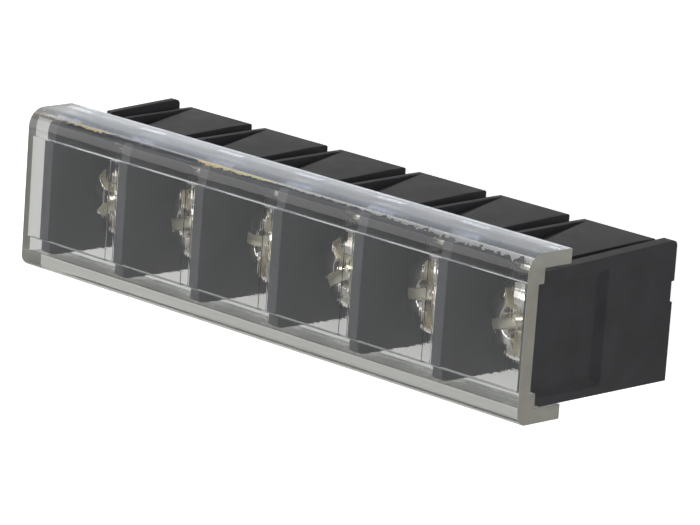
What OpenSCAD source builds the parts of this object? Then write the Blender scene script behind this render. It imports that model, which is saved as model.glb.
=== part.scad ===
// Barrier terminal strip with a clear snap-on cover, six poles, screw
// clamps and solder pins. Millimetres. X runs along the strip, Y points away
// from the wire entries, Z from the board to the cover. The origin lies on
// the board seat, at the middle of the strip.

/* [Base] */
// Distance between neighbouring screws
pitch = 9.5; // [9:0.1:14]
// Thickness of each barrier
barrier_t = 1.1; // [0.8:0.1:1.6]
// Height of a compartment's floor above the board
floor_z = 8.2; // [7.5:0.1:12]
// Height from the floor to the front of the barriers
barrier_rise = 8.4; // [8:0.1:12]
// Reach of the base on the terminal side of the screws
back_y = 5.65; // [5.4:0.05:7]
// Reach of the base on the wire side of the screws
entry_y = 5.53; // [5.2:0.05:7]
// Thickness of the flange at the left end
flange_t = 0.65; // [0.5:0.05:1]
// Gap between that flange and the first barrier
flange_gap = 0.95; // [0.6:0.05:1.5]
// How far the end walls stay above the board
end_lift = 0.64; // [0.3:0.02:1]

/* [Slots between the poles] */
// Width of each slot
slot_w = 1.8; // [1:0.1:2.4]
// Depth of each slot beside the base
slot_depth = 3.5; // [2:0.1:3.6]
// Depth of each slot beside the compartments
slot_shallow = 0.9; // [0.5:0.1:1]

/* [Cover] */
// Thickness of the front plate
plate_t = 1.3; // [1:0.05:2]
// Thickness of the two lips
lip_t = 1.25; // [1:0.05:1.6]
// Depth of the lips, from the front of the plate
lip_depth = 4.9; // [4.2:0.1:5.4]
// Play between the cover and the barriers
cover_play = 0.05; // [0.03:0.01:0.2]
// Height of the step in each inside corner
step_h = 1.28; // [0.8:0.02:1.6]
// Depth of the step behind the plate
step_d = 0.6; // [0.4:0.05:1]
// How much shorter the cover is than the base, at each end
cover_inset = 0.13; // [0:0.01:0.3]

/* [Terminals] */
// Thickness of the terminal plates
term_t = 0.8; // [0.6:0.05:1]
// Length of a terminal plate across the strip
term_len = 6.8; // [6:0.1:7]
// Diameter of the solder pins
pin_d = 1.2; // [1:0.05:1.4]
// Length of the solder pins below the board seat
pin_len = 4.2; // [3:0.1:4.4]
// Distance of the pin row from the middle of the strip
pin_y = 1.95; // [1.7:0.05:2.1]

/* [Screws] */
// Thread diameter
screw_d = 3.5; // [3:0.1:3.8]
// Head diameter
head_d = 6.8; // [6.2:0.1:7.2]
// Head height
head_h = 2.4; // [2:0.1:2.6]
// Length under the head
screw_len = 6; // [5:0.1:6.4]
// Width of the driver slot
slot_drive = 0.9; // [0.8:0.05:1.2]
// Thickness of the square clamp washer
clamp_t = 0.8; // [0.6:0.05:1]
// Side of the square clamp washer
clamp_w = 7; // [6.4:0.1:7.2]
// Thickness of the spring washer
lock_t = 0.85; // [0.6:0.05:1]

/* [Hidden] */
$fn = 48;
poles = 6;
e = 0.01;
plastic = "#39393a";
clear = [0.86, 0.88, 0.88, 0.35];
tin = "#c9c5b8";
steel = "#d3cfc4";

inner_w = pitch - barrier_t;
len_x = flange_t + flange_gap + poles * pitch + barrier_t;
left_x = -len_x / 2;
right_x = len_x / 2;
first_x = left_x + flange_t + flange_gap;
function bar_x(k) = first_x + k * pitch;
function pole_x(k) = bar_x(k) + barrier_t + inner_w / 2;

// Fronts and drafts of the barriers
front_z = floor_z + barrier_rise;
notch_z = front_z - step_d;
back_draft = 0.2;
wall_top_z = front_z - 4.2;
flat_z = 2.1;
rib_t = 0.55;
dip_swing = 17.9;
dip_tilt = 23.6;
dip_end = 9.3;
rear_r = 0.2;
wall_r = 0.45;
screw_y = -0.2;
wall_in_y = 3.7;

// Cover, placed from the fronts of the barriers
plate_z = front_z + cover_play;
cover_z = plate_z + plate_t;
lip_z = cover_z - lip_depth;
lip_in_y = back_y + 0.08;
cover_y = lip_in_y + lip_t;
step_y = lip_in_y - step_h;
tongue_y = step_y - cover_play;
cover_len = len_x - 2 * cover_inset;
top_r = 1.6;
low_r = 1;
mark_w = 0.93;
mark_d = 0.1;

// Clamp stack, from the floor up
bore_play = 0.05;
washer_play = 0.08;
term_z = floor_z + term_t;
lock_z = term_z + clamp_t;
head_z = lock_z + lock_t;
tip_z = head_z - screw_len;
collar_d = screw_d + 1.2;
collar_h = 1.5;
well_d = collar_d + 0.3;
well_z = tip_z - 0.4;
term_w = 7.4;
leg_w = 2;
leg_y = screw_y + term_len / 2;
knee_z = 2.6;
leg_play = 0.05;
foot_w = 1.6;
turns = [45, 18, -7, 35, 7, 18];

// Turns a profile drawn as (y, z) into a slab that runs along X.
module along_x(x, w) {
  translate([x, 0, 0]) rotate([90, 0, 90]) linear_extrude(w) children();
}

// Cross-section of the base and the back wall of a compartment.
module block_profile() {
  round_foot(back_y, 0, rear_r)
    polygon([
      [-entry_y, 0], [back_y, 0], [back_y, flat_z],
      [back_y - 0.4, wall_top_z], [wall_in_y, wall_top_z],
      [wall_in_y, floor_z], [-entry_y, floor_z]
    ]);
}

// Rounds the corner of a profile that lies at (y, z).
module round_foot(y, z, r) {
  difference() {
    children();
    translate([y - r, z - 1]) square([r + 1, r + 1]);
  }
  translate([y - r, z + r]) circle(r);
}

// Cross-section of a barrier. The tongue fits between the cover's steps.
module barrier_profile(z0, back_low, back_high) {
  polygon([
    [-entry_y, z0], [back_low, z0], [back_high, notch_z],
    [tongue_y, notch_z], [tongue_y, front_z],
    [-tongue_y, front_z], [-tongue_y, notch_z],
    [-entry_y + 0.15, notch_z], [-entry_y - 0.07, notch_z - 0.4],
    [-entry_y - 0.09, notch_z - 0.9]
  ]);
}

// Sloping valley beside the rib of each barrier, deeper towards the cover.
module dip() {
  intersection() {
    translate([rib_t, 0, 0.4]) rotate([0, dip_swing, 0]) rotate([2.2, 0, dip_tilt])
      translate([-6, 0, -2]) cube([7, 4, 16]);
    translate([rib_t, -3, -1]) cube([4, 6, dip_end + 1]);
  }
}

// Cross-section of the end wall and the flange, which reach further back.
module end_profile() {
  round_foot(back_y + 0.56, end_lift, wall_r)
    barrier_profile(end_lift, back_y + 0.6, back_y - 0.17);
}

// Room for one terminal: the well under its collar, and the way of its leg.
module terminal_room(k) {
  translate([pole_x(k), 0, 0]) {
    translate([0, screw_y, well_z])
      cylinder(d = well_d, h = floor_z - well_z + 1);
    translate([-leg_w / 2 - leg_play, leg_y - term_t - leg_play, knee_z - leg_play])
      cube([leg_w + 2 * leg_play, term_t + 2 * leg_play, floor_z]);
    translate([-leg_w / 2 - leg_play, pin_y - term_t / 2 - leg_play, knee_z - leg_play])
      cube([leg_w + 2 * leg_play, leg_y - pin_y + term_t / 2, term_t + 2 * leg_play]);
    translate([-foot_w / 2 - leg_play, pin_y - term_t / 2 - leg_play, -1])
      cube([foot_w + 2 * leg_play, term_t + 2 * leg_play, knee_z + 1]);
  }
}

// Shallow panel let into the right end wall, open towards the cover.
module end_panel() {
  z0 = floor_z + 0.4;
  d = barrier_t / 2;
  intersection() {
    translate([right_x, 0, z0]) linear_extrude(front_z)
      polygon([[e, 4.85], [-d, 4.85 - d], [-d, d - 4.85], [e, -4.85]]);
    translate([0, -6, 0]) rotate([90, 0, 0]) mirror([0, 0, 1])
      linear_extrude(12)
        polygon([
          [right_x + e, z0], [right_x - d, z0 + 0.8],
          [right_x - d, front_z + 1], [right_x + e, front_z + 1]
        ]);
  }
}

module housing() {
  color(plastic)
  difference() {
    union() {
      difference() {
        along_x(left_x + flange_t - e, len_x - flange_t - barrier_t + 2 * e)
          block_profile();
        // end slot beside the flange, and the open space above it
        translate([left_x, back_y - slot_depth, -1])
          cube([flange_t + flange_gap, 5, 30]);
        translate([left_x, -10, floor_z - 0.2])
          cube([flange_t + flange_gap, 20, 20]);
        for (k = [0 : poles - 1]) {
          // slots between the blocks
          translate([bar_x(k + 1) - slot_w, back_y - slot_depth, -1])
            cube([slot_w + e, 5, floor_z]);
          translate([bar_x(k + 1) - slot_w, back_y - 0.3 - slot_shallow, floor_z - 2])
            cube([slot_w + e, 5, 8]);
          terminal_room(k);
        }
      }
      for (k = [0 : poles - 1])
        along_x(bar_x(k), barrier_t)
          round_foot(back_y, 0, rear_r)
            barrier_profile(0, back_y, back_y - back_draft);
      // right end wall and left end flange
      along_x(bar_x(poles), barrier_t) end_profile();
      along_x(left_x, flange_t)
        intersection() {
          end_profile();
          translate([-10, 0]) square([20, floor_z + 0.6]);
        }
    }
    end_panel();
    for (k = [0 : poles - 1]) translate([bar_x(k), back_y, 0]) dip();
    // channel along the pin row
    translate([left_x - 1, pin_y - 0.85, -1])
      cube([len_x + 2, 1.7, 1 + end_lift + 0.25]);
  }
}

// Outline of the cover's cross-section, with its two front corners rounded.
module cover_outline() {
  difference() {
    translate([-cover_y, lip_z]) square([2 * cover_y, lip_depth]);
    translate([cover_y - top_r, cover_z - top_r]) square(top_r + 1);
    translate([-cover_y - 1, cover_z - low_r]) square(low_r + 1);
  }
  translate([cover_y - top_r, cover_z - top_r]) circle(top_r);
  translate([-cover_y + low_r, cover_z - low_r]) circle(low_r);
}

module cover() {
  color(clear)
  difference() {
    along_x(-cover_len / 2, cover_len)
      difference() {
        cover_outline();
        translate([-step_y, lip_z - 1]) square([2 * step_y, plate_z - lip_z + 1]);
        translate([-lip_in_y, lip_z - 1])
          square([2 * lip_in_y, plate_z - step_d - lip_z + 1]);
      }
    // shallow witness marks beside the barriers
    for (k = [1 : poles - 1])
      translate([bar_x(k) - mark_w, -step_y + 0.1, plate_z - 1])
        cube([mark_w, 2 * step_y - 0.2, 1 + mark_d]);
  }
}

// Stamped plate with an extruded collar. Its leg ends at the board seat in a
// shoulder and the round pin.
module terminal(k) {
  color(tin)
  translate([pole_x(k), 0, 0])
  difference() {
    union() {
      translate([-term_w / 2, screw_y - term_len / 2, floor_z])
        cube([term_w, term_len, term_t]);
      translate([0, screw_y, floor_z - collar_h])
        cylinder(d = collar_d, h = collar_h + e);
      translate([-leg_w / 2, leg_y - term_t, knee_z])
        cube([leg_w, term_t, floor_z - knee_z + e]);
      translate([-leg_w / 2, pin_y - term_t / 2, knee_z])
        cube([leg_w, leg_y - pin_y + term_t / 2, term_t]);
      translate([-foot_w / 2, pin_y - term_t / 2, 0])
        cube([foot_w, term_t, knee_z + e]);
      translate([0, pin_y, -pin_len + 0.3])
        cylinder(d = pin_d, h = pin_len - 0.3 + e);
      translate([0, pin_y, -pin_len])
        cylinder(d1 = pin_d - 0.5, d2 = pin_d, h = 0.3);
    }
    translate([0, screw_y, knee_z + term_t + 0.5])
      cylinder(d = screw_d + 2 * bore_play, h = 10);
  }
}

// Square washer with its corners taken off.
module clamp_washer(k) {
  color(steel)
  translate([pole_x(k), screw_y, term_z])
  difference() {
    intersection() {
      translate([-clamp_w / 2, -clamp_w / 2, 0]) cube([clamp_w, clamp_w, clamp_t]);
      rotate([0, 0, 45]) translate([-4.4, -4.4, -1]) cube([8.8, 8.8, 4]);
    }
    translate([0, 0, -1]) cylinder(d = screw_d + 2 * washer_play, h = 4);
  }
}

// Spring washer, cut through on one side.
module lock_washer(k) {
  color(steel)
  translate([pole_x(k), screw_y, lock_z])
  difference() {
    cylinder(d = head_d - 0.2, h = lock_t);
    translate([0, 0, -1]) cylinder(d = screw_d + 2 * washer_play, h = 4);
    rotate([0, 0, turns[k] + 60]) translate([0, -0.25, -1]) rotate([25, 0, 0])
      cube([5, 0.5, 4]);
  }
}

// Pan head screw with a driver slot and a cross recess.
module screw(k) {
  color(steel)
  translate([pole_x(k), screw_y, 0])
  difference() {
    union() {
      translate([0, 0, tip_z + 0.4]) cylinder(d = screw_d, h = screw_len - 0.4 + e);
      translate([0, 0, tip_z]) cylinder(d1 = screw_d - 0.8, d2 = screw_d, h = 0.4);
      translate([0, 0, head_z]) rotate_extrude() head_profile();
    }
    rotate([0, 0, turns[k]]) {
      translate([-head_d, -slot_drive / 2, head_z + head_h - 1.05])
        cube([2 * head_d, slot_drive, 3]);
      translate([-slot_drive / 2, -2.7, head_z + head_h - 1.05])
        cube([slot_drive, 5.4, 3]);
      translate([0, 0, head_z + head_h - 1.9])
        cylinder(d1 = 0.9, d2 = 2.8, h = 1.9 + e);
    }
  }
}

// Half of the head's section: a short straight side, then an arc to the top.
module head_profile() {
  r = head_d / 2;
  arc = 1.5;
  intersection() {
    union() {
      square([r, head_h - arc + e]);
      square([r - arc, head_h]);
      translate([r - arc, head_h - arc]) circle(arc);
    }
    square([r, head_h]);
  }
}

housing();
cover();
terminal(0);  // terminal_1
terminal(1);  // terminal_2
terminal(2);  // terminal_3
terminal(3);  // terminal_4
terminal(4);  // terminal_5
terminal(5);  // terminal_6
clamp_washer(0);  // clamp_washer_1
clamp_washer(1);  // clamp_washer_2
clamp_washer(2);  // clamp_washer_3
clamp_washer(3);  // clamp_washer_4
clamp_washer(4);  // clamp_washer_5
clamp_washer(5);  // clamp_washer_6
lock_washer(0);  // lock_washer_1
lock_washer(1);  // lock_washer_2
lock_washer(2);  // lock_washer_3
lock_washer(3);  // lock_washer_4
lock_washer(4);  // lock_washer_5
lock_washer(5);  // lock_washer_6
screw(0);  // screw_1
screw(1);  // screw_2
screw(2);  // screw_3
screw(3);  // screw_4
screw(4);  // screw_5
screw(5);  // screw_6
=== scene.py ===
import math

import bmesh
import bpy
from mathutils import Matrix, Vector


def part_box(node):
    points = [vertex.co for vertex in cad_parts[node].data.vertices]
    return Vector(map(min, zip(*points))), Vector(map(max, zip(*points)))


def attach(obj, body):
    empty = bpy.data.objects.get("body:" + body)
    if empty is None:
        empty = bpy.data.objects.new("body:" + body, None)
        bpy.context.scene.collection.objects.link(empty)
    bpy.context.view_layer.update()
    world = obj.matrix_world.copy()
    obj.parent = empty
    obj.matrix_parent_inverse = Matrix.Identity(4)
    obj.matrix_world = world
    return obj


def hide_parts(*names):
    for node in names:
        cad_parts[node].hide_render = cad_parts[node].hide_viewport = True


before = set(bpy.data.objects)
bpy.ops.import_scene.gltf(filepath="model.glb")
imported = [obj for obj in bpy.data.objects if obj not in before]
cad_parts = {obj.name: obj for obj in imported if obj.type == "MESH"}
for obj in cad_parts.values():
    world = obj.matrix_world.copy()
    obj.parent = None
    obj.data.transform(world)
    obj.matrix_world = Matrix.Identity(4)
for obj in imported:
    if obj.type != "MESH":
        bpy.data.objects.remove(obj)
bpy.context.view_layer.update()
mm = 0.001
poles = range(1, 7)
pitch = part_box("screw_2")[0][0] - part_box("screw_1")[0][0]
scene = bpy.context.scene
scene.view_settings.view_transform = "Standard"


# a shader node group whose inputs are numbers, or vectors where the value is a tuple
def newGroup(name, inputs, outputs):
    group = bpy.data.node_groups.new(name, "ShaderNodeTree")
    for label, value in inputs.items():
        kind = "NodeSocketVector" if isinstance(value, tuple) else "NodeSocketFloat"
        socket = group.interface.new_socket(label, in_out="INPUT", socket_type=kind)
        socket.default_value = value
    for label in outputs:
        group.interface.new_socket(label, in_out="OUTPUT", socket_type="NodeSocketFloat")
    return group, group.nodes.new("NodeGroupInput").outputs, group.nodes.new("NodeGroupOutput").inputs


def addNode(tree, kind, sockets=None, **values):
    node = tree.nodes.new(kind)
    for key, value in values.items():
        setattr(node, key, value)
    for key, value in (sockets or {}).items():
        node.inputs[key].default_value = value
    return node


# another node's output is linked, a colour or a number is set
def feed(tree, value, socket):
    if isinstance(value, bpy.types.NodeSocket):
        tree.links.new(value, socket)
    else:
        socket.default_value = (*value, 1) if isinstance(value, tuple) else value


def maths(tree, operation, *values):
    node = addNode(tree, "ShaderNodeMath", operation=operation)
    for value, socket in zip(values, node.inputs):
        feed(tree, value, socket)
    return node.outputs[0]


def blend(tree, mask, first, second):
    node = addNode(tree, "ShaderNodeMix", data_type="RGBA")
    for value, place in ((mask, 0), (first, 6), (second, 7)):
        feed(tree, value, node.inputs[place])
    return node.outputs[2]


def ramp(tree, source, *stops):
    node = tree.nodes.new("ShaderNodeValToRGB")
    elements = node.color_ramp.elements
    while len(elements) < len(stops):
        elements.new(0.5)
    for element, (place, colour) in zip(elements, stops):
        element.position = place
        element.color = (colour, colour, colour, 1) if isinstance(colour, float) else (*colour, 1)
    tree.links.new(source, node.inputs["Fac"])
    return node.outputs["Color"]


# fine moulded or plated grain: a height for Bump and a mask for colour and roughness
def makeGrain():
    group, start, end = newGroup("fineGrain", {
        "Vector": (0, 0, 0), "Scale": 4000.0, "Mottle": 300.0}, ["Height", "Mask"])
    for result, scale, detail, roughness in (("Height", "Scale", 3.0, 0.6), ("Mask", "Mottle", 4.0, 0.55)):
        noise = addNode(group, "ShaderNodeTexNoise", {"Detail": detail, "Roughness": roughness})
        group.links.new(start["Vector"], noise.inputs["Vector"])
        group.links.new(start[scale], noise.inputs["Scale"])
        group.links.new(noise.outputs["Fac"], end[result])
    return group


# scattered tiny specks of dust, as a mask
def makeDust():
    group, start, end = newGroup("dustSpecks", {
        "Vector": (0, 0, 0), "Scale": 500.0, "Size": 0.05, "Share": 0.1}, ["Mask"])
    cells = addNode(group, "ShaderNodeTexVoronoi", {"Randomness": 1.0})
    for place in ("Vector", "Scale"):
        group.links.new(start[place], cells.inputs[place])
    draw = addNode(group, "ShaderNodeSeparateColor")
    group.links.new(cells.outputs["Color"], draw.inputs[0])
    near = maths(group, "LESS_THAN", cells.outputs["Distance"], start["Size"])
    some = maths(group, "LESS_THAN", draw.outputs[0], start["Share"])
    group.links.new(maths(group, "MULTIPLY", near, some), end["Mask"])
    return group


# ripples in narrow bands that repeat along the strip, as a height
def makeRipples():
    group, start, end = newGroup("bandRipples", {
        "Vector": (0, 0, 0), "Pitch": 0.01, "Start": 0.0, "Band": 0.001,
        "Waves": 5.0, "From": 0.0}, ["Height"])
    split = addNode(group, "ShaderNodeSeparateXYZ")
    group.links.new(start["Vector"], split.inputs[0])
    along = split.outputs["X"]
    away = maths(group, "FLOORED_MODULO", maths(group, "SUBTRACT", along, start["Start"]), start["Pitch"])
    share = maths(group, "DIVIDE", away, start["Band"])
    turns = maths(group, "MULTIPLY", share, start["Waves"])
    wave = maths(group, "SINE", maths(group, "MULTIPLY", turns, math.tau))
    inBand = maths(group, "LESS_THAN", share, 1)
    inside = maths(group, "MULTIPLY", inBand, maths(group, "GREATER_THAN", along, start["From"]))
    group.links.new(maths(group, "MULTIPLY", wave, inside), end["Height"])
    return group


grainGroup, dustGroup, rippleGroup = makeGrain(), makeDust(), makeRipples()


def newMaterial(name):
    material = bpy.data.materials.new(name)
    material.use_nodes = True
    tree = material.node_tree
    coords = addNode(tree, "ShaderNodeTexCoord")
    return material, tree, tree.nodes["Principled BSDF"], coords.outputs["Object"]


def placeGroup(tree, group, coords, values):
    node = addNode(tree, "ShaderNodeGroup", values, node_tree=group)
    tree.links.new(coords, node.inputs["Vector"])
    return node


# goes from one value to the other with the mottle of a grain
def mottled(tree, grain, low, high, span=(0.3, 0.7)):
    return ramp(tree, grain.outputs["Mask"], (span[0], low), (span[1], high))


# a height goes into the normal of a shader, or of the bump in front of it; the depth is in mm
def addBump(tree, target, height, strength, depth):
    bump = addNode(tree, "ShaderNodeBump", {"Strength": strength, "Distance": depth * mm})
    tree.links.new(height, bump.inputs["Height"])
    tree.links.new(bump.outputs["Normal"], target.inputs["Normal"])
    return bump


# lets rays through, tinted, where the mask is 1
def letThrough(tree, shader, mask, tint=(1, 1, 1)):
    bare = addNode(tree, "ShaderNodeBsdfTransparent")
    feed(tree, tint, bare.inputs["Color"])
    mix = addNode(tree, "ShaderNodeMixShader")
    for source, socket in zip((mask, shader.outputs[0], bare.outputs[0]), mix.inputs):
        tree.links.new(source, socket)
    tree.links.new(mix.outputs[0], tree.nodes["Material Output"].inputs["Surface"])


# black moulding of the base
plasticLook = {
    "dark": (0.043, 0.043, 0.046), "light": (0.058, 0.058, 0.063), "dust": (0.42, 0.42, 0.41),
    "rough": (0.40, 0.54), "roughSpan": (0.25, 0.75), "specular": 0.16, "bump": 0.10, "bumpDepth": 0.04,
    "grain": {"Scale": 5200.0, "Mottle": 380.0}, "specks": {"Scale": 700.0, "Size": 0.05, "Share": 0.035}}


def blackPlastic():
    look = plasticLook
    material, tree, shader, coords = newMaterial("blackMoulding")
    grain = placeGroup(tree, grainGroup, coords, look["grain"])
    dust = placeGroup(tree, dustGroup, coords, look["specks"])
    tone = mottled(tree, grain, look["dark"], look["light"])
    feed(tree, blend(tree, dust.outputs["Mask"], tone, look["dust"]), shader.inputs["Base Color"])
    feed(tree, mottled(tree, grain, *look["rough"], look["roughSpan"]), shader.inputs["Roughness"])
    feed(tree, look["specular"], shader.inputs["Specular IOR Level"])
    addBump(tree, shader, grain.outputs["Height"], look["bump"], look["bumpDepth"])
    return material


# clear moulding of the cover, in mm: tints with a painted shade and the painted sheen are given by their Y,
# and each stop of the worn line with its painted glow has its share of the length, its width and its glow
# colour
coverLook = {
    "ior": 1.58, "rough": 0.02, "shadow": (0.92, 0.92, 0.92), "reach": 7.0,
    "flow": {"Scale": 2600.0, "Mottle": 600.0}, "flowStretch": (0.03, 1, 1),
    "flowBump": 0.10, "flowDepth": 0.04,
    "rippleStart": -29.23, "rippleFrom": -25.0, "rippleBand": 0.93, "rippleWaves": 3.0,
    "rippleBump": 0.035, "rippleDepth": 0.03,
    # tints across the strip; the darker grey from 5.2 to 6.3 is painted shade on the rounded front edge
    "tintsAndCornerShade": [(-5.7, (0.72, 0.73, 0.695)), (-5.5, (0.96, 0.967, 0.967)), (5.0, (0.96, 0.967, 0.967)),
              (5.2, (0.80, 0.80, 0.80)), (6.3, (0.80, 0.80, 0.80)), (6.5, (0.94, 0.96, 1.0))],
    "paintedSheen": [(5.95, (0.0, 0.0, 0.0)), (6.51, (0.032, 0.036, 0.044))], "paintedSheenFlow": (3.6, -0.8),
    "lip": (6.3, 6.5), "haze": 0.16, "hazeFlow": 2.0,
    "glowingScuffs": {"x": -17.8, "half": 1.5, "lip": 6.9, "z": 14.3, "high": 0.35, "dots": 5000.0, "share": 0.5,
               "gain": 9.0},
    "wornAndGlow": {"half": 28.5, "top": 6.65, "front": 17.2, "patches": 1900.0, "ragged": (4.0, -1.3),
             "rough": 0.28,
             "stops": [(0.02, 0.12, (0.16, 0.12, 0.04)), (0.14, 0.17, (0.38, 0.29, 0.10)),
                       (0.16, 0.0, (0.1, 0.1, 0.1)), (0.34, 0.0, (0.2, 0.14, 0.05)),
                       (0.35, 0.22, (0.38, 0.25, 0.08)), (0.47, 0.19, (0.31, 0.30, 0.10)),
                       (0.52, 0.12, (0.26, 0.23, 0.20)), (0.64, 0.14, (0.20, 0.19, 0.18)),
                       (0.72, 0.20, (0.18, 0.18, 0.175)), (0.86, 0.32, (0.20, 0.20, 0.195)),
                       (0.99, 0.42, (0.24, 0.24, 0.235))]}}


# a colour that changes across the strip
def acrossStrip(tree, y, stops):
    reach = coverLook["reach"]
    across = addNode(tree, "ShaderNodeMapRange", {"From Min": -reach, "From Max": reach})
    tree.links.new(y, across.inputs["Value"])
    shares = [((place + reach) / (2 * reach), colour) for place, colour in stops]
    return ramp(tree, across.outputs[0], *shares)


# worn line under the rounded front edge, as a mask, and its painted glow as a colour: amber at the left, pale
# to the right
def wornLineAndGlow(tree, coords, x, y, z):
    look = coverLook["wornAndGlow"]
    along = addNode(tree, "ShaderNodeMapRange", {"From Min": -look["half"], "From Max": look["half"]})
    tree.links.new(x, along.inputs["Value"])
    width = ramp(tree, along.outputs[0], *[(place, wide) for place, wide, colour in look["stops"]])
    glow = ramp(tree, along.outputs[0], *[(place, colour) for place, wide, colour in look["stops"]])
    patches = addNode(tree, "ShaderNodeTexNoise", {
        "Scale": look["patches"], "Detail": 4.0, "Roughness": 0.65})
    tree.links.new(coords, patches.inputs["Vector"])
    uneven = maths(tree, "MULTIPLY_ADD", patches.outputs["Fac"], *look["ragged"])
    below = maths(tree, "SUBTRACT", look["top"], y)
    narrow = maths(tree, "LESS_THAN", below, maths(tree, "MULTIPLY", width, uneven))
    inside = maths(tree, "MULTIPLY", maths(tree, "GREATER_THAN", below, 0), narrow)
    return maths(tree, "MULTIPLY", inside, maths(tree, "GREATER_THAN", z, look["front"])), glow


# small scuffs on the upper lip, one patch beside each barrier, as a mask; they are drawn as bright spots of
# painted glow
def scuffGlowMarks(tree, coords, x, y, z):
    look = coverLook["glowingScuffs"]
    start = maths(tree, "SUBTRACT", x, look["x"] - look["half"])
    away = maths(tree, "SUBTRACT", maths(tree, "FLOORED_MODULO", start, pitch / mm), look["half"])
    near = maths(tree, "LESS_THAN", maths(tree, "ABSOLUTE", away), look["half"])
    onLip = maths(tree, "MULTIPLY", near, maths(tree, "GREATER_THAN", y, look["lip"]))
    rise = maths(tree, "ABSOLUTE", maths(tree, "SUBTRACT", z, look["z"]))
    dots = addNode(tree, "ShaderNodeTexNoise", {"Scale": look["dots"], "Detail": 2.0, "Roughness": 0.7})
    tree.links.new(coords, dots.inputs["Vector"])
    patch = maths(tree, "MULTIPLY", onLip, maths(tree, "LESS_THAN", rise, look["high"]))
    return maths(tree, "MULTIPLY", patch, maths(tree, "GREATER_THAN", dots.outputs["Fac"], look["share"]))


def clearPlastic():
    look = coverLook
    material, tree, shader, coords = newMaterial("clearMoulding")
    feed(tree, look["ior"], shader.inputs["IOR"])
    feed(tree, 1.0, shader.inputs["Transmission Weight"])
    split = addNode(tree, "ShaderNodeSeparateXYZ")
    tree.links.new(coords, split.inputs[0])
    x, y, z = (maths(tree, "MULTIPLY", split.outputs[axis], 1 / mm) for axis in "XYZ")
    stretch = addNode(tree, "ShaderNodeMapping", {"Scale": look["flowStretch"]})
    tree.links.new(coords, stretch.inputs["Vector"])
    flow = placeGroup(tree, grainGroup, stretch.outputs[0], look["flow"])
    ripples = placeGroup(tree, rippleGroup, coords, {
        "Pitch": pitch, "Start": look["rippleStart"] * mm, "Band": look["rippleBand"] * mm,
        "Waves": look["rippleWaves"], "From": look["rippleFrom"] * mm})
    streaks = addBump(tree, shader, flow.outputs["Height"], look["flowBump"], look["flowDepth"])
    addBump(tree, streaks, ripples.outputs["Height"], look["rippleBump"], look["rippleDepth"])
    # across the cover: green lower lip, clear pane, painted shade on the rounded edge, blue upper lip with a
    # streaky painted sheen
    feed(tree, acrossStrip(tree, y, look["tintsAndCornerShade"]), shader.inputs["Base Color"])
    wornAndGlow, glow = wornLineAndGlow(tree, coords, x, y, z)
    scuffGlow = scuffGlowMarks(tree, coords, x, y, z)
    # painted sheen: a weak glow on the upper lip, in the long streaks of the flow
    strength = maths(tree, "MULTIPLY_ADD", flow.outputs["Mask"], *look["paintedSheenFlow"])
    # the scuffs add a strong painted glow to the sheen
    strength = maths(tree, "MULTIPLY_ADD", scuffGlow, look["glowingScuffs"]["gain"], strength)
    paintedSheen = addNode(tree, "ShaderNodeVectorMath", operation="SCALE")
    tree.links.new(acrossStrip(tree, y, look["paintedSheen"]), paintedSheen.inputs[0])
    tree.links.new(strength, paintedSheen.inputs["Scale"])
    # emission: the painted sheen, and on the worn line a painted glow from amber to pale; the worn line is
    # also matt
    feed(tree, blend(tree, wornAndGlow, paintedSheen.outputs[0], glow), shader.inputs["Emission Color"])
    feed(tree, 1.0, shader.inputs["Emission Strength"])
    # the two lips are hazy in long streaks
    inner, outer = look["lip"]
    haze = addNode(tree, "ShaderNodeMapRange", {"From Min": inner, "From Max": outer, "To Max": look["haze"]})
    tree.links.new(maths(tree, "ABSOLUTE", y), haze.inputs["Value"])
    streaky = maths(tree, "MULTIPLY", flow.outputs["Mask"], look["hazeFlow"])
    hazy = maths(tree, "MULTIPLY_ADD", haze.outputs[0], streaky, look["rough"])
    matt = maths(tree, "MULTIPLY", wornAndGlow, look["wornAndGlow"]["rough"])
    feed(tree, maths(tree, "MAXIMUM", hazy, matt), shader.inputs["Roughness"])
    path = addNode(tree, "ShaderNodeLightPath")
    letThrough(tree, shader, path.outputs["Is Shadow Ray"], look["shadow"])
    return material


# sawn ends of the cover, frosted
endLook = {"tint": (0.575, 0.555, 0.475), "shade": 0.86, "rough": 0.4, "through": 0.5, "bump": 0.2,
           "bumpDepth": 0.04, "grain": {"Scale": 3500.0, "Mottle": 900.0}, "shadow": (0.8, 0.8, 0.8)}


def frostedPlastic():
    look = endLook
    material, tree, shader, coords = newMaterial("frostedEnd")
    grain = placeGroup(tree, grainGroup, coords, look["grain"])
    dark = tuple(look["shade"] * c for c in look["tint"])
    feed(tree, mottled(tree, grain, dark, look["tint"]), shader.inputs["Base Color"])
    feed(tree, look["rough"], shader.inputs["Roughness"])
    feed(tree, coverLook["ior"], shader.inputs["IOR"])
    feed(tree, look["through"], shader.inputs["Transmission Weight"])
    addBump(tree, shader, grain.outputs["Height"], look["bump"], look["bumpDepth"])
    path = addNode(tree, "ShaderNodeLightPath")
    letThrough(tree, shader, path.outputs["Is Shadow Ray"], look["shadow"])
    return material


# plated metals: screws, washers and terminals
plating = {"grain": {"Scale": 3000.0, "Mottle": 700.0}, "bumpDepth": 0.05}
metalLooks = {
    "screw": {"dark": (0.46, 0.40, 0.33), "light": (0.95, 0.93, 0.88), "rough": (0.06, 0.16), "bump": 0.05,
              "slot": {"depth": 1.05, "margin": 0.08, "tone": (0.66, 0.63, 0.50), "rough": 0.36}},
    "washer": {"dark": (0.58, 0.55, 0.50), "light": (0.76, 0.73, 0.67), "rough": (0.20, 0.34), "bump": 0.08},
    "terminal": {"dark": (0.58, 0.53, 0.42), "light": (0.74, 0.70, 0.58), "rough": (0.26, 0.42),
                 "bump": 0.08}}


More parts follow.
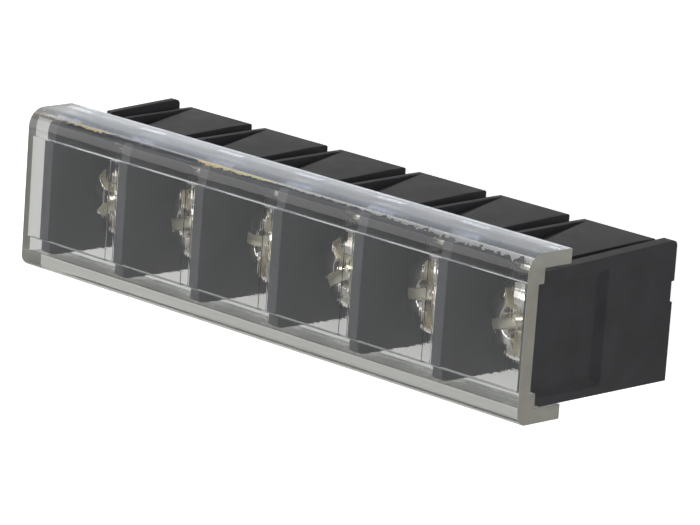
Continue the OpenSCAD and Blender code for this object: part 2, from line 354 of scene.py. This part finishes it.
# the floor of the driver slot, as a mask
def slotFloor(tree, coords, slot):
    split = addNode(tree, "ShaderNodeSeparateXYZ")
    tree.links.new(coords, split.inputs[0])
    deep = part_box("screw_1")[1][2] - slot["depth"] * mm
    away = maths(tree, "ABSOLUTE", maths(tree, "SUBTRACT", split.outputs["Z"], deep))
    return maths(tree, "LESS_THAN", away, slot["margin"] * mm)


def platedMetal(name):
    look = metalLooks[name]
    material, tree, shader, coords = newMaterial(name + "Plating")
    feed(tree, 1.0, shader.inputs["Metallic"])
    grain = placeGroup(tree, grainGroup, coords, plating["grain"])
    colour = mottled(tree, grain, look["dark"], look["light"])
    rough = mottled(tree, grain, *look["rough"])
    if "slot" in look:  # matt and pale on the floor of the driver slot
        floor = slotFloor(tree, coords, look["slot"])
        colour = blend(tree, floor, colour, look["slot"]["tone"])
        rough = maths(tree, "MAXIMUM", rough, maths(tree, "MULTIPLY", floor, look["slot"]["rough"]))
    feed(tree, colour, shader.inputs["Base Color"])
    feed(tree, rough, shader.inputs["Roughness"])
    addBump(tree, shader, grain.outputs["Height"], look["bump"], plating["bumpDepth"])
    return material


plastic, clear, frosted = blackPlastic(), clearPlastic(), frostedPlastic()
screwMetal, washerMetal, terminalMetal = (platedMetal(name) for name in ("screw", "washer", "terminal"))
print("materials ready")

# shared by every piece: lengths in mm, angles in degrees
copyRules = {"merge": 0.001, "flat": 0.4, "sharp": 30.0, "room": 0.2, "segments": 2, "sliver": 0.004}


# marks the sharp edges that have room for a rounding
def markEdges(bm):
    weight = bm.edges.layers.float.new("bevel_weight_edge")
    short = (e for e in bm.edges if e.calc_length() < copyRules["room"] * mm)
    tight = {v for e in short for v in e.verts}
    for edge in bm.edges:
        sharp = edge.calc_face_angle(0.0) > math.radians(copyRules["sharp"])
        edge[weight] = 1.0 if sharp and not tight.intersection(edge.verts) else 0.0


# a copy of a frame node, with its flat triangles joined into whole faces unless told otherwise
def mergedCopy(node, name, low=None, whole=True):
    bm = bmesh.new()
    bm.from_mesh(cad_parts[node].data)
    bmesh.ops.remove_doubles(bm, verts=bm.verts, dist=copyRules["merge"] * mm)
    if whole:
        flat = math.radians(copyRules["flat"])
        bmesh.ops.dissolve_limit(bm, angle_limit=flat, verts=bm.verts, edges=bm.edges)
    if low is not None:  # keep only what lies above this height, closed again below
        parts = bm.verts[:] + bm.edges[:] + bm.faces[:]
        level = {"plane_co": (0, 0, low), "plane_no": (0, 0, 1)}
        cut = bmesh.ops.bisect_plane(bm, geom=parts, clear_inner=True, **level)
        rim = [g for g in cut["geom_cut"] if isinstance(g, bmesh.types.BMEdge)]
        bmesh.ops.holes_fill(bm, edges=rim)
    for face in bm.faces:
        face.smooth = True
    markEdges(bm)
    mesh = bpy.data.meshes.new(name)
    bm.to_mesh(mesh)
    bm.free()
    if "custom_normal" in mesh.attributes:
        mesh.attributes.remove(mesh.attributes["custom_normal"])
    piece = bpy.data.objects.new(name, mesh)
    scene.collection.objects.link(piece)
    return piece


def applied(piece):
    evaluated = piece.evaluated_get(bpy.context.evaluated_depsgraph_get())
    mesh = bpy.data.meshes.new_from_object(evaluated)
    mesh.name = piece.name
    piece.modifiers.clear()
    piece.data = mesh
    return piece


# rounds the edges sharper than the angle, or the marked ones where no angle is given
def softenEdges(piece, width, angle=None, slide=True, harden=True):
    bevel = piece.modifiers.new("edges", "BEVEL")
    bevel.width = width * mm
    bevel.segments = copyRules["segments"]
    bevel.limit_method = "ANGLE" if angle else "WEIGHT"
    bevel.angle_limit = math.radians(angle or copyRules["sharp"])
    bevel.use_clamp_overlap = False
    bevel.harden_normals = harden
    bevel.loop_slide = slide
    applied(piece)


# flat faces stay flat, and corners left square stay crisp
def evenShading(piece, crease):
    bm = bmesh.new()
    bm.from_mesh(piece.data)
    bmesh.ops.dissolve_degenerate(bm, dist=copyRules["sliver"] * mm, edges=bm.edges)
    bmesh.ops.triangulate(bm, faces=[f for f in bm.faces if len(f.verts) > 4])
    bm.to_mesh(piece.data)
    bm.free()
    piece.data.set_sharp_from_angle(angle=math.radians(crease))
    weigh = piece.modifiers.new("flat", "WEIGHTED_NORMAL")
    weigh.weight = 100
    weigh.keep_sharp = True
    applied(piece)


def stand(piece, body, slot, *nodes):
    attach(piece, body)
    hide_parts(*nodes)


# base: every moulded edge slightly rounded
baseEdge = {"edge": 0.08, "crease": 35.0}
base = mergedCopy("housing", "mouldedBase", whole=False)
base.data.materials.append(plastic)
softenEdges(base, baseEdge["edge"], slide=False, harden=False)
evenShading(base, baseEdge["crease"])
stand(base, "base", "housing", "housing")
print("base", len(base.data.polygons), "faces")

# cover: clear faces along the strip, frosted ones at the two ends
coverEdge = {"edge": 0.06, "angle": 25.0, "crease": 20.0, "endBand": 0.08}
shell = mergedCopy("cover", "clearCover", whole=False)
shell.data.materials.append(clear)
shell.data.materials.append(frosted)
softenEdges(shell, coverEdge["edge"], coverEdge["angle"], slide=False, harden=False)
shell.data.set_sharp_from_angle(angle=math.radians(coverEdge["crease"]))
endX = max(abs(v.co.x) for v in shell.data.vertices) - coverEdge["endBand"] * mm
for face in shell.data.polygons:
    xs = [shell.data.vertices[v].co.x for v in face.vertices]
    face.material_index = 1 if min(xs) > endX or max(xs) < -endX else 0
stand(shell, "cover", "cover", "cover")
print("cover", len(shell.data.polygons), "faces")


# a geometry node tree, with the identifiers of its inputs
def newTree(name, inputs):
    tree = bpy.data.node_groups.new(name, "GeometryNodeTree")
    sockets = {}
    for label, kind, value in inputs:
        socket = tree.interface.new_socket(label, in_out="INPUT", socket_type="NodeSocket" + kind)
        if value is not None:
            socket.default_value = value
        sockets[label] = socket.identifier
    tree.interface.new_socket("Geometry", in_out="OUTPUT", socket_type="NodeSocketGeometry")
    return tree, tree.nodes.new("NodeGroupInput").outputs, sockets


# ends a tree: instances made real, one material
def finishTree(tree, start, geometry):
    real = tree.nodes.new("GeometryNodeRealizeInstances")
    paint = tree.nodes.new("GeometryNodeSetMaterial")
    end = tree.nodes.new("NodeGroupOutput")
    tree.links.new(geometry, real.inputs["Geometry"])
    tree.links.new(real.outputs["Geometry"], paint.inputs["Geometry"])
    tree.links.new(start["Material"], paint.inputs["Material"])
    tree.links.new(paint.outputs["Geometry"], end.inputs["Geometry"])


def grow(piece, tree, sockets, values):
    modifier = piece.modifiers.new("grow", "NODES")
    modifier.node_group = tree
    for label, value in values.items():
        modifier[sockets[label]] = value
    applied(piece)


# row of terminals: one rounded terminal, repeated at the pole pitch
terminalRow = {"edge": 0.07, "count": len(poles)}


def rowTree():
    tree, start, sockets = newTree("terminalRow", [
        ("Terminal", "Object", None), ("Count", "Int", 6), ("Pitch", "Float", 0.01),
        ("Material", "Material", None)])
    info = tree.nodes.new("GeometryNodeObjectInfo")
    line = tree.nodes.new("GeometryNodeMeshLine")
    step = tree.nodes.new("ShaderNodeCombineXYZ")
    spread = tree.nodes.new("GeometryNodeInstanceOnPoints")
    link = tree.links.new
    link(start["Terminal"], info.inputs["Object"])
    link(start["Count"], line.inputs["Count"])
    link(start["Pitch"], step.inputs["X"])
    link(step.outputs[0], line.inputs["Offset"])
    link(line.outputs["Mesh"], spread.inputs["Points"])
    link(info.outputs["Geometry"], spread.inputs["Instance"])
    finishTree(tree, start, spread.outputs["Instances"])
    return tree, sockets


oneTerminal = mergedCopy("terminal_1", "oneTerminal")
softenEdges(oneTerminal, terminalRow["edge"])
terminals = bpy.data.objects.new("terminals", bpy.data.meshes.new("terminals"))
scene.collection.objects.link(terminals)
row, rowSockets = rowTree()
grow(terminals, row, rowSockets, {
    "Terminal": oneTerminal, "Count": terminalRow["count"], "Pitch": pitch, "Material": terminalMetal})
bpy.data.objects.remove(oneTerminal)
stand(terminals, "base", "terminal", *[f"terminal_{k}" for k in poles])
print("terminals", len(terminals.data.polygons), "faces")

# washers of each clamp
washerEdge = {"edge": 0.08, "angle": 35.0}
for k in poles:
    for node in (f"clamp_washer_{k}", f"lock_washer_{k}"):
        washer = mergedCopy(node, node.replace("_", "") + "Plate")
        washer.data.materials.append(washerMetal)
        softenEdges(washer, washerEdge["edge"], washerEdge["angle"])
        stand(washer, f"clamp_{k}", node[:-2], node)
print("washers on", len(poles), "poles")

# screws: rounded head, and a shank with its thread; radii and heights in mm
screwLook = {
    "edge": 0.05, "angle": 40.0, "shank": 1.75, "core": 1.46, "skin": 0.02, "sides": 40, "point": 0.35,
    "pitch": 0.6, "threadStart": 0.45, "threadGaps": 0.9, "threadSteps": 28, "cut": 0.001, "overlap": 0.3}


def threadTree():
    tree, start, sockets = newTree("screwThread", [
        ("Shank", "Geometry", None), ("Core", "Float", 0.001), ("Ridge", "Float", 0.0003),
        ("Height", "Float", 0.005), ("Turns", "Float", 8.0), ("Foot", "Vector", (0, 0, 0)),
        ("Steps", "Int", 28), ("Material", "Material", None)])
    helix = tree.nodes.new("GeometryNodeCurveSpiral")
    profile = addNode(tree, "GeometryNodeCurvePrimitiveCircle", {"Resolution": 4})
    sweep = addNode(tree, "GeometryNodeCurveToMesh", {"Fill Caps": True})
    move = tree.nodes.new("GeometryNodeTransform")
    both = tree.nodes.new("GeometryNodeJoinGeometry")
    link = tree.links.new
    for place in ("Start Radius", "End Radius"):
        link(start["Core"], helix.inputs[place])
    link(start["Height"], helix.inputs["Height"])
    link(start["Turns"], helix.inputs["Rotations"])
    link(start["Steps"], helix.inputs["Resolution"])
    link(start["Ridge"], profile.inputs["Radius"])
    link(helix.outputs["Curve"], sweep.inputs["Curve"])
    link(profile.outputs["Curve"], sweep.inputs["Profile Curve"])
    link(sweep.outputs["Mesh"], move.inputs["Geometry"])
    link(start["Foot"], move.inputs["Translation"])
    link(move.outputs["Geometry"], both.inputs[0])
    link(start["Shank"], both.inputs[0])
    finishTree(tree, start, both.outputs[0])
    return tree, sockets


# plain core of the shank, with a cut point, added below the head
def addCore(mesh, x, y, tip, top):
    bm = bmesh.new()
    bm.from_mesh(mesh)
    core = (screwLook["core"] + screwLook["skin"]) * mm
    point = screwLook["point"] * mm
    sides = screwLook["sides"]
    loops = []
    for z, radius in ((tip, core - point), (tip + point, core), (top, core)):
        angles = [math.tau * i / sides for i in range(sides)]
        loops.append([bm.verts.new((x + radius * math.cos(a), y + radius * math.sin(a), z)) for a in angles])
    for low, high in zip(loops, loops[1:]):
        for i in range(sides):
            j = (i + 1) % sides
            bm.faces.new((low[i], low[j], high[j], high[i])).smooth = True
    bm.faces.new(list(reversed(loops[0])))
    bm.faces.new(loops[-1])
    bm.to_mesh(mesh)
    bm.free()


thread, threadSockets = threadTree()
for k in poles:
    low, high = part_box(f"screw_{k}")
    x, y = (low[0] + high[0]) / 2, (low[1] + high[1]) / 2
    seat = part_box(f"lock_washer_{k}")[1][2]
    height = seat - low[2] - screwLook["threadGaps"] * mm
    screw = mergedCopy(f"screw_{k}", f"screwBody{k}", seat + screwLook["cut"] * mm)
    softenEdges(screw, screwLook["edge"], screwLook["angle"])
    addCore(screw.data, x, y, low[2], seat + screwLook["overlap"] * mm)
    grow(screw, thread, threadSockets, {
        "Core": screwLook["core"] * mm, "Ridge": (screwLook["shank"] - screwLook["core"]) * mm,
        "Height": height, "Turns": height / (screwLook["pitch"] * mm), "Steps": screwLook["threadSteps"],
        "Foot": (x, y, low[2] + screwLook["threadStart"] * mm), "Material": screwMetal})
    stand(screw, f"screw_{k}", "screw", f"screw_{k}")
print("screws on", len(poles), "poles")

# stage: pale floor and world, each with its own level for the rays that see, mirror or come through
stageLook = {
    "floorZ": -4.25, "floorHalf": 2.5, "floorRough": 0.9, "floorColour": (0.50, 0.50, 0.475),
    "floorSeen": 0.92, "floorThrough": 0.12, "floorMirrored": 0.22, "through": (0.45, 0.46, 0.465),
    "mirroredLeft": (0.58, 0.585, 0.595), "mirroredRight": (0.12, 0.12, 0.125), "mirroredSpan": (0.2, 0.85),
    "front": (0.64, 0.64, 0.64), "back": (0.16, 0.165, 0.19), "depthSpan": (0.3, 0.8)}


# 1 on rays that come through the clear cover and have met nothing matt
def firstThrough(tree, path):
    fresh = maths(tree, "LESS_THAN", path.outputs["Diffuse Depth"], 0.5)
    return maths(tree, "MULTIPLY", path.outputs["Is Transmission Ray"], fresh)


def makeFloor():
    look = stageLook
    mesh = bpy.data.meshes.new("floor")
    half, z = look["floorHalf"], look["floorZ"] * mm
    corners = [(-half, -half, z), (half, -half, z), (half, half, z), (-half, half, z)]
    mesh.from_pydata(corners, [], [(0, 1, 2, 3)])
    floor = bpy.data.objects.new("floor", mesh)
    scene.collection.objects.link(floor)
    material, tree, shader, coords = newMaterial("paleFloor")
    feed(tree, look["floorColour"], shader.inputs["Base Color"])
    feed(tree, look["floorRough"], shader.inputs["Roughness"])
    feed(tree, 0.0, shader.inputs["Specular IOR Level"])
    path = addNode(tree, "ShaderNodeLightPath")
    direct = maths(tree, "SUBTRACT", 1, path.outputs["Is Transmission Ray"])
    mirrored = maths(tree, "MULTIPLY", path.outputs["Is Glossy Ray"], direct)
    glow = maths(tree, "MULTIPLY", path.outputs["Is Camera Ray"], look["floorSeen"])
    glow = maths(tree, "MULTIPLY_ADD", firstThrough(tree, path), look["floorThrough"], glow)
    glow = maths(tree, "MULTIPLY_ADD", mirrored, look["floorMirrored"], glow)
    feed(tree, (1, 1, 1), shader.inputs["Emission Color"])
    feed(tree, glow, shader.inputs["Emission Strength"])
    geometry = addNode(tree, "ShaderNodeNewGeometry")
    letThrough(tree, shader, geometry.outputs["Backfacing"])  # unseen from below
    mesh.materials.append(material)


def makeWorld():
    look = stageLook
    world = bpy.data.worlds.new("studio")
    scene.world = world
    world.use_nodes = True
    tree = world.node_tree
    coords, split = addNode(tree, "ShaderNodeTexCoord"), addNode(tree, "ShaderNodeSeparateXYZ")
    tree.links.new(coords.outputs["Generated"], split.inputs[0])
    side, depth = (maths(tree, "MULTIPLY_ADD", split.outputs[axis], 0.5, 0.5) for axis in "XY")
    near, far = look["depthSpan"]
    left, right = look["mirroredSpan"]
    colour = ramp(tree, depth, (near, look["front"]), (far, look["back"]))
    mirrored = ramp(tree, side, (left, look["mirroredLeft"]), (right, look["mirroredRight"]))
    path = addNode(tree, "ShaderNodeLightPath")
    colour = blend(tree, path.outputs["Is Glossy Ray"], colour, mirrored)
    colour = blend(tree, firstThrough(tree, path), colour, look["through"])
    colour = blend(tree, path.outputs["Is Camera Ray"], colour, (1, 1, 1))
    tree.links.new(colour, tree.nodes["Background"].inputs["Color"])


# soft round lamps, in metres and watts
lamps = {
    "topLamp": {"place": (-0.15, 0.55, 0.25), "aim": (0, 0, 0), "size": 0.5, "power": 0.15},
    "leftLamp": {"place": (-0.45, 0.1, 0.45), "aim": (0, 0, 0), "size": 0.4, "power": 0.5},
    "sideLamp": {"place": (0.6, 0.15, 0.04), "aim": (0, 0, 0.005), "size": 0.2, "power": 0.72},
    "frontLamp": {"place": (-0.18, 0.1, 0.6), "aim": (0, 0, 0), "size": 0.3, "power": 1.7}}


def addLamp(name, place, aim, size, power):
    lamp = bpy.data.lights.new(name, "AREA")
    lamp.shape = "DISK"
    lamp.size = size
    lamp.energy = power
    holder = bpy.data.objects.new(name, lamp)
    holder.location = place
    holder.rotation_euler = (Vector(aim) - Vector(place)).to_track_quat("-Z", "Y").to_euler()
    scene.collection.objects.link(holder)


# place in mm, and the directions of the view's right side, its top and the way back to the viewer
cameraLook = {
    "lens": 249.03, "sensor": 36, "near": 0.02, "far": 20, "place": (276.33, 94.0, 290.38),
    "axes": ((0.7017, 0.0698, -0.7091), (-0.2149, 0.9696, -0.1172), (0.6793, 0.2346, 0.6953))}


def addCamera():
    look = cameraLook
    camera = bpy.data.cameras.new("camera")
    camera.lens = look["lens"]
    camera.sensor_width = look["sensor"]
    camera.clip_start = look["near"]
    camera.clip_end = look["far"]
    holder = bpy.data.objects.new("camera", camera)
    turn = Matrix(look["axes"]).transposed().to_4x4()
    holder.matrix_world = Matrix.Translation(Vector(look["place"]) * mm) @ turn
    scene.collection.objects.link(holder)
    scene.camera = holder


makeFloor()
makeWorld()
for name, lamp in lamps.items():
    addLamp(name, **lamp)
addCamera()
print("stage, lamps and camera ready")
